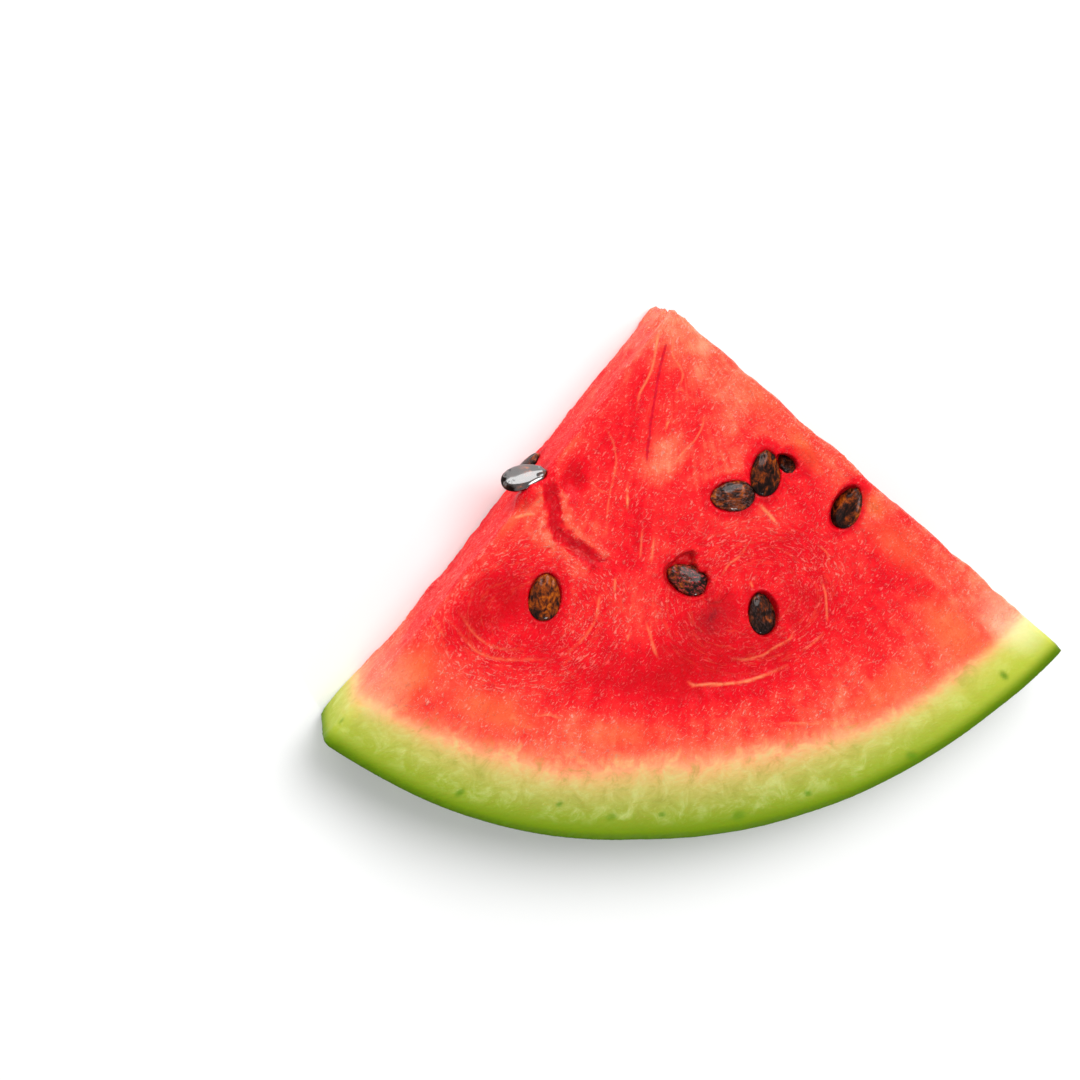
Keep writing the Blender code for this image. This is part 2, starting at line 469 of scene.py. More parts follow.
class Surface:
    """The wedge's points, and where each of them is on the wedge."""

    def __init__(self, mesh):
        self.points = points_of(mesh)
        self.normals = normals_of(mesh)
        from_heart = self.points - np.array(HEART)
        self.radius = np.linalg.norm(from_heart, axis=1)
        self.bearing = np.degrees(np.arctan2(from_heart[:, 0], -from_heart[:, 1]))
        self.flesh = smooth(RIND_END, FLESH_START, MELON_RADIUS - self.radius)
        self.past_left = from_heart @ np.array(LEFT)
        self.past_right = from_heart @ np.array(RIGHT)
        self.top = smooth(TOP - FACE_END, TOP - FACE_FULL, self.points[:, 2])
        self.under = smooth(FACE_END, FACE_FULL, self.points[:, 2])
        self.left = smooth(-FACE_END, -FACE_FULL, self.past_left)
        self.right = smooth(-FACE_END, -FACE_FULL, self.past_right)


def round_ridge(surface):
    """Wears the left ridge of the upper face down to a wide, soft curve."""
    rounding = RIDGE_ROUNDING * (1 + 0.3 * ripple(surface.points, 12 * MM, 11))
    over = np.maximum(0, surface.past_left + rounding)
    up = np.maximum(0, surface.points[:, 2] - TOP + rounding)
    length = np.hypot(over, up)
    shrink = np.where(length > rounding, rounding / np.maximum(length, 1e-9), 1) - 1
    shrink = np.where((over > 0) & (up > 0), shrink, 0)
    surface.points += (over * shrink)[:, None] * np.array(LEFT) + (up * shrink)[:, None] * np.array(UP)


def bend_outline(surface):
    """The skin isn't a true circle, and the rind swells past the left cut."""
    from_heart = surface.points - np.array(HEART)
    true_radius = MELON_RADIUS + 0.12 * MM * ripple(surface.points, 15 * MM, 20)
    onto_skin = smooth(*SKIN_SNAP, MELON_RADIUS - surface.radius)
    onto_skin *= smooth(-0.3 * MM, -1.8 * MM, surface.past_left)
    share = onto_skin * (true_radius / np.linalg.norm(from_heart, axis=1) - 1)
    surface.points += from_heart * share[:, None]
    degrees, amounts = zip(*OUTLINE)
    grow = np.interp(surface.bearing, degrees, amounts) * smooth(55 * MM, MELON_RADIUS, surface.radius) * MM
    plan = (surface.points - np.array(HEART)) * (1, 1, 0)
    surface.points += plan / np.maximum(surface.radius, MM)[:, None] * grow[:, None]
    swell = LEFT_SWELL * smooth(92 * MM, 116 * MM, surface.radius) * smooth(-16 * MM, 0, surface.past_left)
    surface.points += swell[:, None] * np.array(LEFT)


def roughen(surface):
    """The knife leaves the flesh a little uneven, most of all along its edges; the rind stays true."""
    points = surface.points
    normals = surface.normals
    sides = [normals[:, 2], normals @ np.array(LEFT), normals @ np.array(RIGHT)]
    edge = smooth(0.97, 0.80, np.max(np.abs(sides), axis=0)) * surface.flesh
    swell = 0.30 * ripple(points, 11 * MM) + 0.14 * ripple(points, 4 * MM, 1)
    cells = 0.10 * ripple(turned(points, -50), np.array((1.9, 0.9, 1.2)) * MM, 2)
    ragged = 0.70 * ripple(points, 6 * MM, 3) + 0.55 * ripple(points, 2.2 * MM, 4)
    lift = surface.flesh * (swell + cells) + edge * ragged
    lift += (1 - surface.flesh) * (0.16 * ripple(points, 15 * MM, 5) + 0.05 * ripple(points, 4 * MM, 12))
    surface.points = points + normals * (lift * MM)[:, None]
    wave = (0.45 * ripple(points, 8 * MM, 18) + 0.30 * ripple(points, 3.5 * MM, 19)) * surface.flesh * MM
    by_right = wave * smooth(-5 * MM, 0, surface.past_right)
    by_left = wave * smooth(-5 * MM, 0, surface.past_left)
    surface.points += by_right[:, None] * np.array(RIGHT) + by_left[:, None] * np.array(LEFT)


def tear(surface):
    """The split and the dents in the upper face. Returns how deep each point has sunk, in millimetres."""
    points = surface.points
    ragged = 0.22 * ripple(points, 2.4 * MM, 7) + 0.12 * ripple(points, 0.9 * MM, 14)
    torn = 0.45 * ripple(points, 1.9 * MM, 6) + 0.30 * ripple(points, 0.8 * MM, 13)
    gap, along = reach(points, smooth_path(FURROW))
    ends = smooth(0, 0.10, along) * smooth(1, 0.80, along)
    hollow = 0.7 * ends * smooth(2.6, 0.0, gap / MM + 1.0 * ripple(points, 1.8 * MM, 17))
    for (x, y), long, wide, degrees, depth, slope in DENTS + HOLLOWS:
        local = turned(points - np.array((x, y, 0)) * MM, degrees)
        far = np.hypot(local[:, 0] / long, local[:, 1] / wide) / MM
        far = far + (torn if wide < NARROW_HOLLOW else ragged)
        hollow = np.maximum(hollow, depth * smooth(1.1, 1.1 - slope, far))
    return hollow * surface.top


def lay_fibres(surface):
    """How much of a fibre shows at each point of the upper face."""
    fibre = np.zeros(len(surface.points))
    for width, strength, route in FIBRES:
        gap, along = reach(surface.points, smooth_path(route))
        ends = 0.2 + 0.8 * smooth(0, 0.25, along) * smooth(1, 0.75, along)
        fibre = np.maximum(fibre, strength * ends * smooth(width * MM, 0.05 * MM, gap))
    return fibre * surface.top


def seed_opening(surface, node):
    """Which points a seed may push in, the way out of the flesh there, and how deep it may go."""
    if node == "seed_left_proud":
        return np.maximum(surface.top, surface.left), (LEFT + UP).normalized(), RIDGE_PIT
    face = node.split("_")[1]
    outward = {"top": UP, "under": -UP, "left": LEFT, "right": RIGHT}[face]
    return getattr(surface, face), outward, DEEPEST_PIT


def press_seeds(surface):
    """Sinks a pit under each seed. Returns each point's depth in one, and how near it is to a seed."""
    pit = np.zeros(len(surface.points))
    halo = np.zeros(len(surface.points))
    for node, seed in SEEDS.items():
        on_face, outward, deepest = seed_opening(surface, node)
        move, outside = seed.carve(surface.points, outward, SEED_GAP, PIT_FLARE)
        near = np.linalg.norm(surface.points - seed.centre, axis=1) < SEED_REACH
        halo = np.maximum(halo, smooth(0.75, 0.02, outside) * near * (on_face > 0.3))
        if node in BURIED:
            continue
        lip = LIP_HEIGHT * np.exp(-((outside - LIP_PLACE) / LIP_WIDTH) ** 2) * near * on_face * MM
        lip *= 0.6 + 0.8 * ripple(surface.points, 2 * MM, 15)
        cover = np.zeros(len(pit))
        for (x, y), long, wide, degrees, thickness in LAPS.get(node, []):
            ragged = surface.points + (0.25 * MM * ripple(surface.points, 1.3 * MM, 16))[:, None]
            oval = ((x, y), long, wide, degrees, 1.0)
            cover = np.maximum(cover, patch(ragged, oval, THIN_LAP))
            softness = THIN_LAP if thickness < 1 else THICK_LAP
            near_top = smooth(TOP - 7 * MM, TOP - 3 * MM, surface.points[:, 2])
            lip += patch(ragged, oval, softness) * thickness * near_top * MM
        move = np.where((on_face > 0.3) & (move > -deepest) & near, np.minimum(0, move), 0)
        move = move * (1 - cover)
        surface.points += (move + np.where(move < -0.1 * MM, 0, lip))[:, None] * np.array(outward)
        pit = np.maximum(pit, -move / MM)
    return pit, halo


def blunt_point(surface):
    """The point of the wedge is worn, with a ragged notch across it below the upper face."""
    points = surface.points
    tip = smooth(7 * MM, 1 * MM, POINT_Y - points[:, 1])
    notch = NOTCH_DEPTH * np.exp(-((points[:, 2] - NOTCH_HEIGHT * TOP) / NOTCH_SPREAD) ** 2)
    points[:, 1] -= tip * (0.2 + notch + 0.6 * ripple(points, 2.4 * MM, 8)) * MM


def shape_wedge(wedge):
    """Gives the cut wedge its uneven faces, its pits, split and fibres, and its soft point."""
    mesh = wedge.data
    surface = Surface(mesh)
    write_attribute(mesh, "depth", (MELON_RADIUS - surface.radius) / MM)
    roughen(surface)
    round_ridge(surface)
    bend_outline(surface)
    hollow = tear(surface)
    fibre = lay_fibres(surface)
    surface.points[:, 2] += (0.12 * fibre - hollow) * MM
    pit, halo = press_seeds(surface)
    blunt_point(surface)
    surface.points[:, 2] = np.maximum(surface.points[:, 2], 0)
    move_points(mesh, surface.points)
    tint_wedge(mesh, surface, hollow, fibre, pit, halo)


def painted_edge_glow(surface):
    """How pale the flesh is along the two straight cuts and at the point: painted glow of light through the
    thin flesh there, and along the left cut partly its pale froth.
    """
    points = surface.points
    left = 0.38 * smooth(-9 * MM, -1 * MM, surface.past_left) * (0.85 + 0.3 * ripple(points, 6 * MM, 9))
    left *= 0.3 + 0.7 * smooth(TOP - 3 * MM, TOP - 0.5 * MM, points[:, 2])
    right = smooth(-15 * MM, -1 * MM, surface.past_right) * (0.85 + 0.4 * ripple(points, 7 * MM, 10))
    tip = 0.75 * smooth(16 * MM, 3 * MM, POINT_Y - points[:, 1])
    return np.maximum.reduce([left, right, tip])


def tint_wedge(mesh, surface, hollow, fibre, pit, halo):
    """Writes how wet, pale, orange or cream each point is, for the flesh's material. The wet deep red in
    pits, round seeds and along the split is partly painted shade, and the paleness along the cuts is partly
    painted glow.
    """
    points = surface.points
    # Pits, hollows, the split and a halo round each seed get the wet deep red, partly painted shade.
    sunk = smooth(0.1, 0.8, pit + hollow * 0.4)
    juicy = patches(points, JUICY) * surface.top
    juicy = np.maximum.reduce([juicy, sunk, 0.65 * halo])
    pale = patches(points, PALE) * surface.top
    # Painted glow along the cuts and at the point is added to the paleness.
    pale = np.maximum(pale, painted_edge_glow(surface))
    pale = pale * (1 - 0.85 * smooth(0, 0.9, np.maximum(sunk, halo)))
    reach_split, along = reach(points, smooth_path(FURROW))
    off_split = reach_split / MM + 0.9 * ripple(points, 1.7 * MM, 21) + 0.5 * ripple(points, 0.8 * MM, 22)
    ends = smooth(0, 0.08, along) * smooth(1, 0.85, along) * surface.top
    # The split gets painted shade: deep red, and a share of the dark colour of a buried seed's shadow.
    split = smooth(2.6, 0.0, off_split) * ends
    froth = smooth(5.5, 2.6, off_split) * smooth(0.8, 2.6, off_split) * ends * smooth(0.6, 0.1, hollow)
    juicy = np.maximum(juicy * (1 - 0.8 * froth), 0.9 * split)
    write_attribute(mesh, "juicy", np.clip(juicy, 0, 1))
    write_attribute(mesh, "pale", np.clip(np.maximum(pale * (1 - split), 0.90 * froth), 0, 1))
    write_attribute(mesh, "fibre", np.clip(fibre, 0, 1))
    write_attribute(mesh, "smudge", np.maximum(patches(points, SMUDGE, 1.0) * surface.top, 0.25 * split))
    write_attribute(mesh, "orange", patches(points, ORANGE, 1.0) * surface.top)
    write_attribute(mesh, "cream", patches(points, CREAM, 0.9) * smooth(0, 4 * MM, points[:, 2]))
    write_attribute(mesh, "vein", patches(points, VEINS, 0.9) * surface.top)


# --- Materials -------------------------------------------------------------------------------------

class Field:
    """A value that varies over a surface. Arithmetic on it adds Math nodes to its material."""

    def __init__(self, finish, socket):
        self.finish = finish
        self.socket = socket

    def math(self, operation, *others, clamp=False):
        inputs = dict(enumerate((self, *others)))
        return self.finish.node("ShaderNodeMath", {"operation": operation, "use_clamp": clamp}, inputs)

    def __add__(self, other):
        return self.math("ADD", other)

    __radd__ = __add__

    def __mul__(self, other):
        return self.math("MULTIPLY", other)

    __rmul__ = __mul__

    def __sub__(self, other):
        return self.math("SUBTRACT", other)

    def __rsub__(self, other):
        return self.finish.node("ShaderNodeMath", {"operation": "SUBTRACT"}, {0: other, 1: self})

    def __truediv__(self, other):
        return self.math("DIVIDE", other)

    def clamped(self):
        return self.math("ADD", 0.0, clamp=True)

    def larger(self, other):
        return self.math("MAXIMUM", other)

    def step(self, low, high):
        """0 below low and 1 above high, with an easy slope between; low may be the larger one."""
        if low > high:
            return 1 - self.step(high, low)
        settings = {"interpolation_type": "SMOOTHSTEP"}
        inputs = {"Value": self, "From Min": low, "From Max": high}
        return self.finish.node("ShaderNodeMapRange", settings, inputs)


class Finish:
    """A material under construction."""

    def __init__(self, name):
        self.material = bpy.data.materials.new(name)
        self.material.use_nodes = True
        self.tree = self.material.node_tree
        self.shader = self.tree.nodes["Principled BSDF"]
        self.place = self.node("ShaderNodeTexCoord", {}, {}, "Object")

    def node(self, kind, settings, inputs, output=0):
        """Adds a node: its settings are made first, then its sockets get their values or links."""
        node = self.tree.nodes.new(kind)
        for name, value in settings.items():
            if name == "stops":
                set_stops(node.color_ramp, value)
            elif name == "blending":
                node.color_ramp.interpolation = value
            else:
                setattr(node, name, value)
        for name, value in inputs.items():
            self.feed(node.inputs[name], value)
        return Field(self, node.outputs[output])

    def feed(self, socket, value):
        if isinstance(value, Field):
            self.tree.links.new(value.socket, socket)
        else:
            socket.default_value = value

    def set(self, **values):
        """Sets or links the shader's sockets; an underscore stands for a space in a socket's name."""
        for name, value in values.items():
            self.feed(self.shader.inputs[name.replace("_", " ")], value)

    def attribute(self, name, output="Fac"):
        return self.node("ShaderNodeAttribute", {"attribute_name": name}, {}, output)

    def vector(self, operation, *inputs, output=0):
        return self.node("ShaderNodeVectorMath", {"operation": operation}, dict(enumerate(inputs)), output)

    def split(self, vector):
        parts = self.node("ShaderNodeSeparateXYZ", {}, {0: vector}).socket.node.outputs
        return [Field(self, part) for part in parts]

    def join(self, x, y, z):
        return self.node("ShaderNodeCombineXYZ", {}, {0: x, 1: y, 2: z})

    def noise(self, place, scale, detail=2.0, rough=0.5, warp=0.0):
        inputs = {"Vector": place, "Scale": scale, "Detail": detail, "Roughness": rough, "Distortion": warp}
        return self.node("ShaderNodeTexNoise", {}, inputs)

    def turned(self, place, degrees, stretch):
        inputs = {"Vector": place, "Rotation": (0, 0, math.radians(degrees)), "Scale": stretch}
        return self.node("ShaderNodeMapping", {"vector_type": "TEXTURE"}, inputs)

    def ramp(self, value, stops, smoothly=True):
        settings = {"stops": stops, "blending": "EASE" if smoothly else "LINEAR"}
        return self.node("ShaderNodeValToRGB", settings, {0: value})

    def mix(self, share, first, second):
        """The first colour where share is 0 and the second where it is 1."""
        return self.node("ShaderNodeMix", {"data_type": "RGBA"}, {0: share, 6: first, 7: second}, 2)

    def bump(self, height, strength, distance):
        inputs = {"Strength": strength, "Distance": distance, "Height": height}
        return self.node("ShaderNodeBump", {}, inputs)


def set_stops(ramp, stops):
    """A colour ramp's stops, each a position and a colour."""
    while len(ramp.elements) > 1:
        ramp.elements.remove(ramp.elements[-1])
    position, colour = stops[0]
    ramp.elements[0].position = position
    ramp.elements[0].color = (*colour, 1)
    for position, colour in stops[1:]:
        ramp.elements.new(position).color = (*colour, 1)


# Flesh from its deepest and wettest to its palest, as linear colours.
FLESH = [
    (0.00, (0.540, 0.0004, 0.0045)),
    (0.20, (0.640, 0.0006, 0.0075)),
    (0.38, (0.750, 0.0014, 0.0100)),
    (0.54, (0.850, 0.0180, 0.0190)),
    (0.70, (0.920, 0.0820, 0.0440)),
    (0.85, (0.930, 0.1950, 0.1000)),
    (1.00, (0.950, 0.3800, 0.2300)),
]

# The wet flecks on it, pale cells and partly painted glints, likewise.
FLECK_AND_GLINT = [
    (0.50, (0.880, 0.0350, 0.0400)),
    (0.70, (0.940, 0.1150, 0.1050)),
    (0.85, (0.960, 0.2500, 0.1900)),
    (1.00, (0.980, 0.4800, 0.3800)),
]

# Rind by its depth under the skin, from 0 to RIND_DEEP millimetres.
RIND_DEEP = 24.0
RIND = [
    (0.000, (0.040, 0.100, 0.001)),
    (0.025, (0.080, 0.170, 0.001)),
    (0.080, (0.150, 0.245, 0.003)),
    (0.200, (0.235, 0.315, 0.018)),
    (0.350, (0.370, 0.385, 0.070)),
    (0.490, (0.500, 0.420, 0.110)),
    (0.600, (0.660, 0.400, 0.140)),
    (0.700, (0.830, 0.310, 0.150)),
    (0.820, (0.910, 0.170, 0.090)),
    (1.000, (0.900, 0.080, 0.050)),
]

# The skin, from its dark stripes to its light ones.
SKIN = [
    (0.25, (0.012, 0.050, 0.006)),
    (0.45, (0.028, 0.100, 0.010)),
    (0.60, (0.110, 0.240, 0.030)),
    (1.00, (0.210, 0.360, 0.060)),
]

THIN_FLESH = (0.95, 0.165, 0.050, 1)
# Painted glints on the pale froth.
GLINT_PINK = (0.97, 0.50, 0.40, 1)
THREAD = (0.95, 0.30, 0.12, 1)
# Dark red for the shadow of a buried seed and for painted shade along the split.
MURK_AND_SHADE = (0.15, 0.006, 0.012, 1)
# Painted shade beside and in the thin crack.
CRACK_SIDE_SHADE = (0.80, 0.0030, 0.012, 1)
CRACK_SHADE = (0.64, 0.0015, 0.018, 1)
CREAMY_FLESH = (0.96, 0.50, 0.33, 1)
PALE_MOTTLE = (0.58, 0.63, 0.24, 1)
DARK_MOTTLE = (0.27, 0.27, 0.03, 1)
RIND_GRAIN = (0.70, 0.74, 0.26, 1)
# The colour of the painted light on the rind towards its ends.
LIT_RIND_TINT = (0.60, 0.64, 0.07, 1)
CREAMY_RIND = (0.86, 0.86, 0.46, 1)
VEIN_GREEN = (0.09, 0.22, 0.004, 1)

# The middles of the two rings of seeds, round which the cells and fibres of the flesh curl.
CURLS = [(-38.0, -4.0), (12.0, -5.5)]
CURL_SHAPE = (0.88, 1.12, 0.0)

# The thin crack, in millimetres: where it starts, how long it is, how it leans and how it bows.
CRACK_TOP = (-2.5, 53.5)
CRACK_LENGTH = 27.5
CRACK_LEAN = 0.2545
CRACK_BOW = 2.4


class Melon:
    """Where a point is in the melon, in millimetres and radians, and what its attributes say."""

    def __init__(self, finish):
        scaling = {0: finish.place, "Scale": 1 / MM}
        self.millimetres = finish.node("ShaderNodeVectorMath", {"operation": "SCALE"}, scaling)
        from_heart = finish.vector("SUBTRACT", self.millimetres, tuple(HEART / MM))
        self.radius = finish.vector("LENGTH", from_heart, output="Value")
        self.x, self.y, self.z = finish.split(from_heart)
        self.bearing = self.x.math("ARCTAN2", self.y * -1)
        self.depth = finish.attribute("depth")
        self.juicy = finish.attribute("juicy")
        self.pale = finish.attribute("pale")
        self.cream = finish.attribute("cream")


def wet_flecks(finish, melon):
    """The small wet cells, a softer noise of the same grain, and the arcs round the seeds' rings."""
    leaning = finish.turned(melon.millimetres, 50, (1.7, 0.65, 1.0))
    crossing = finish.turned(melon.millimetres, -25, (1.4, 0.65, 1.0))
    flecks = finish.noise(leaning, 1.85, 2.0, 0.5, 0.8)
    flecks_two = finish.noise(crossing, 1.70, 2.0, 0.5, 1.0)
    fleck = flecks.step(0.60, 0.66).larger(flecks_two.step(0.62, 0.68) * 0.85)
    curled = 0.0
    arcs = 0.0
    for middle in CURLS:
        away = finish.vector("SUBTRACT", melon.millimetres, (*middle, TOP / MM))
        away = finish.vector("MULTIPLY", away, CURL_SHAPE)
        far = finish.vector("LENGTH", away, output="Value")
        away_x, away_y = finish.split(away)[:2]
        turn = away_x.math("ARCTAN2", away_y)
        ring = far.step(5, 9) * far.step(23, 17)
        cells = finish.noise(finish.join(turn * 10.5, far * 2.2, melon.z * 1.8), 1.0, 2.0, 0.5, 0.5)
        lines = finish.noise(finish.join(turn * 1.6, far * 0.9, melon.z * 0.5), 1.0, 3.0, 0.6, 0.4)
        curled = ring * cells.step(0.59, 0.66) + curled
        arcs = ring * lines.step(0.55, 0.60) * lines.step(0.66, 0.60) + arcs
    return fleck.larger(curled), flecks, arcs


def flesh_paleness(finish, melon, fine_clouds):
    """How pale the flesh is: clouds, streaks that run out from the heart, and listed patches."""
    clouds = finish.noise(melon.millimetres, 0.055, 3.0, 0.55)
    streak_place = finish.join(melon.bearing * 36.0, melon.radius * 0.09, melon.z * 0.15)
    streaks = finish.noise(streak_place, 1.0, 3.0, 0.6)
    ring = melon.radius.step(96, 82) * melon.radius.step(40, 62)
    paleness = (clouds - 0.5) * 0.50 + (fine_clouds - 0.5) * 0.50 + (streaks - 0.5) * 0.35 + 0.50
    paleness = paleness + melon.pale * 0.30 - melon.juicy * 0.36 - ring * 0.06
    return paleness + melon.radius.step(82, 105) * 0.20


def crack_lines(finish, melon):
    """The thin crack that runs down from the point, and the flesh beside it: masks for painted shade in the
    crack and beside it.
    """
    down = CRACK_TOP[1] - POINT_Y / MM - melon.y
    share = down * (1 / CRACK_LENGTH)
    bow = share * (1 - share) * CRACK_BOW
    off_crack = melon.x - CRACK_TOP[0] + down * CRACK_LEAN + bow
    wander = (finish.noise(melon.millimetres, 0.35, 2.0) - 0.5) * 0.7
    off_crack = (off_crack + wander).math("ABSOLUTE")
    in_crack = share.step(0.0, 0.06) * share.step(1.0, 0.90) * melon.z.step(-3, -1)
    return off_crack.step(0.42, 0.16) * in_crack, off_crack.step(2.4, 0.3) * in_crack


def flesh_colour(finish, melon, fleck, fine_clouds, calm):
    """Red flesh with its wet flecks, pale cells and partly painted glints, and its smooth orange patches.
    """
    orange = finish.attribute("orange")
    paleness = flesh_paleness(finish, melon, fine_clouds)
    flesh = finish.ramp(paleness.clamped(), FLESH, smoothly=False)
    fleck_and_glint = finish.ramp((paleness * 0.6 + 0.50).clamped(), FLECK_AND_GLINT, smoothly=False)
    # The flecks are paler than the flesh: pale cell walls, and partly painted glints of light on them.
    flesh = finish.mix((fleck * calm * (1 - melon.pale * 0.45) * 0.85).clamped(), flesh, fleck_and_glint)
    return finish.mix((orange * (1 - melon.juicy) * 0.75).clamped(), flesh, THIN_FLESH)


def mark_flesh(finish, melon, flesh, sparkle, arcs, fine_clouds):
    """Lays painted glints on the pale froth, fibres, the shadow of a buried seed and painted shade along
    the split over the flesh's colour.
    """
    flesh = finish.mix((sparkle * 0.45).clamped(), flesh, GLINT_PINK)
    broken = finish.noise(melon.millimetres, 0.55, 2.0).step(0.28, 0.50) * 0.6 + 0.25
    thread = (finish.attribute("fibre") * broken).larger(arcs * 0.09)
    flesh = finish.mix(thread.clamped(), flesh, THREAD)
    # Dark red: the shadow of a buried seed, and painted shade along the split.
    murk_and_shade = finish.attribute("smudge") * (fine_clouds.step(0.30, 0.65) * 0.7 + 0.3)
    return finish.mix(murk_and_shade.clamped(), flesh, MURK_AND_SHADE)


def rind_depth(finish, melon):
    """The depth that sets the rind's colour, with a wavering border and fibres that run inwards."""
    waver = (finish.noise(melon.millimetres, 0.045, 2.0) - 0.5) * 5.0
    fray_place = finish.join(melon.bearing * 80.0, melon.radius * 0.22, melon.z * 0.6)
    fray = (finish.noise(fray_place, 1.0, 3.0, 0.6) - 0.5) * 3.4
    narrow = melon.bearing * melon.bearing * 9.5 + melon.bearing.step(0.05, 0.45) * 2.4
    depth = melon.depth
    return depth + narrow * depth.step(4, 16) + waver * depth.step(3, 16) + fray * depth.step(8, 18)


def rind_colour(finish, melon, inner, grains):
    """The rind from green skin to red flesh, mottled and veined, with painted light that makes it paler
    towards the right end.
    """
    depth = melon.depth
    rind = finish.ramp((inner / RIND_DEEP).clamped(), RIND, smoothly=False)
    mottle = finish.noise(melon.millimetres, 0.22, 5.0, 0.65, 0.6)
    inner_rind = depth.step(2.5, 6)
    rind = finish.mix(mottle.step(0.45, 0.72) * inner_rind * 0.50, rind, PALE_MOTTLE)
    rind = finish.mix(mottle.step(0.50, 0.28) * inner_rind * 0.50, rind, DARK_MOTTLE)
    rind = finish.mix(grains.step(0.56, 0.72) * inner_rind * 0.14, rind, RIND_GRAIN)
    # Painted light: the rind is paler towards its ends, most towards the right end.
    painted_light = melon.bearing * melon.bearing * 1.5 + melon.bearing * 0.45
    lit_rind = depth.step(15, 8) * depth.step(1.2, 4)
    rind = finish.mix((painted_light * 0.5).clamped() * lit_rind, rind, LIT_RIND_TINT)
    rind = finish.mix((melon.cream * 0.6).clamped() * depth.step(1.0, 6), rind, CREAMY_RIND)
    return finish.mix((finish.attribute("vein") * 0.9).clamped(), rind, VEIN_GREEN)


def skin_colour(finish, melon):
    """Light green with dark stripes that run with the melon's axis."""
    wobble_place = finish.join(melon.bearing * 16.0, melon.z * 0.12, 3.0)
    wobble = finish.noise(wobble_place, 1.0, 4.0, 0.7)
    stripes = (melon.bearing * 46.0 + wobble * 7.0).math("SINE")
    dapple = finish.noise(melon.millimetres, 0.6, 4.0, 0.7)
    return finish.ramp((stripes * 0.5 + 0.5 + (dapple - 0.5) * 1.6).clamped(), SKIN)


def make_flesh():
    """The wedge's one material: striped skin, green rind and wet red flesh."""
    finish = Finish("flesh_and_rind")
    melon = Melon(finish)
    juicy = melon.juicy
    pale = melon.pale
    calm = 1 - juicy * 0.55
    fleck, flecks, arcs = wet_flecks(finish, melon)
    fine_clouds = finish.noise(melon.millimetres, 0.30, 4.0, 0.6, 0.3)
    froth = finish.noise(melon.millimetres, 2.3, 3.0, 0.6)
    # sparkle is painted glints: pale specks laid into the colour where the froth is pale; it also sets the
    # coat.
    sparkle = froth.step(0.59, 0.67) * pale.step(0.25, 0.8)
    flesh = flesh_colour(finish, melon, fleck, fine_clouds, calm)
    flesh = mark_flesh(finish, melon, flesh, sparkle, arcs, fine_clouds)
    crack, shade_beside_crack = crack_lines(finish, melon)
    # Painted shade: darker red flesh beside the crack and a deep red line in it.
    flesh = finish.mix((shade_beside_crack * 0.45).clamped(), flesh, CRACK_SIDE_SHADE)
    flesh = finish.mix((crack * 0.9).clamped(), flesh, CRACK_SHADE)
    flesh = finish.mix((melon.cream * 0.40).clamped(), flesh, CREAMY_FLESH)

    inner = rind_depth(finish, melon)
    grains = finish.noise(finish.turned(melon.millimetres, 20, (1.8, 0.8, 1.0)), 1.2, 3.0, 0.6)
    inside = inner.step(16.5, 24.0)
    colour = finish.mix(inside, rind_colour(finish, melon, inner, grains), flesh)
    colour = finish.mix(melon.depth.step(0.50, 0.15), colour, skin_colour(finish, melon))

    # Wet cells catch the light: flecks all over the flesh, and froth along the cut edges.
    height = fleck * 0.45 + flecks * 0.5 + fine_clouds * 0.5 + froth * (0.20 + pale * 0.5)
    height = height * inside * calm + grains * (1 - inside) * 0.25 - crack * 0.15
    wet = finish.noise(melon.millimetres, 0.5, 2.0)
    finish.set(
        Base_Color=colour,
        Roughness=0.40 - juicy * 0.14 + (wet - 0.5) * 0.2 + melon.z.step(-1.5, -5) * 0.3,
        Normal=finish.bump(height, 1.0, 0.50 * MM),
        Coat_Weight=(fleck * 0.40 + sparkle * 0.6 + juicy * 0.08 + pale * 0.1).clamped() * inside,
        Coat_Roughness=0.15,
        Coat_IOR=1.35,
        Specular_IOR_Level=0.16,
        IOR=1.36,
        Subsurface_Weight=0.40,
        Subsurface_Radius=(1.0, 0.30, 0.18),
        Subsurface_Scale=1.2 * MM,
    )
    return finish.material


# Each kind of shell: how much amber it shows, how wrinkled it is, how far a film of juice hides it, and
# the film's colour.
GREY_FILM = (0.30, 0.17, 0.16, 1)
RED_FILM = (0.42, 0.035, 0.035, 1)
SHELLS = {
    "brown": (0.40, 0.20, 0.00, GREY_FILM),
    "amber": (0.64, 0.15, 0.00, GREY_FILM),
    "crinkled": (0.46, 1.00, 0.30, GREY_FILM),
    "dark": (0.24, 0.60, 0.10, GREY_FILM),
    "veiled": (0.32, 1.00, 0.85, RED_FILM),
    "wet": (0.20, 0.15, 0.00, GREY_FILM),
}
SHELL = [
    (0.00, (0.0050, 0.0018, 0.0012)),
    (0.30, (0.0200, 0.0055, 0.0030)),
    (0.50, (0.0750, 0.0140, 0.0040)),
    (0.72, (0.2000, 0.0340, 0.0030)),
    (1.00, (0.3800, 0.0850, 0.0040)),
]
# The wet shell shines where it faces this way, measured per millimetre from its seed's centre.
WET_SIDE = (0.35 / MM, 0.75 / MM, 0.55 / MM)


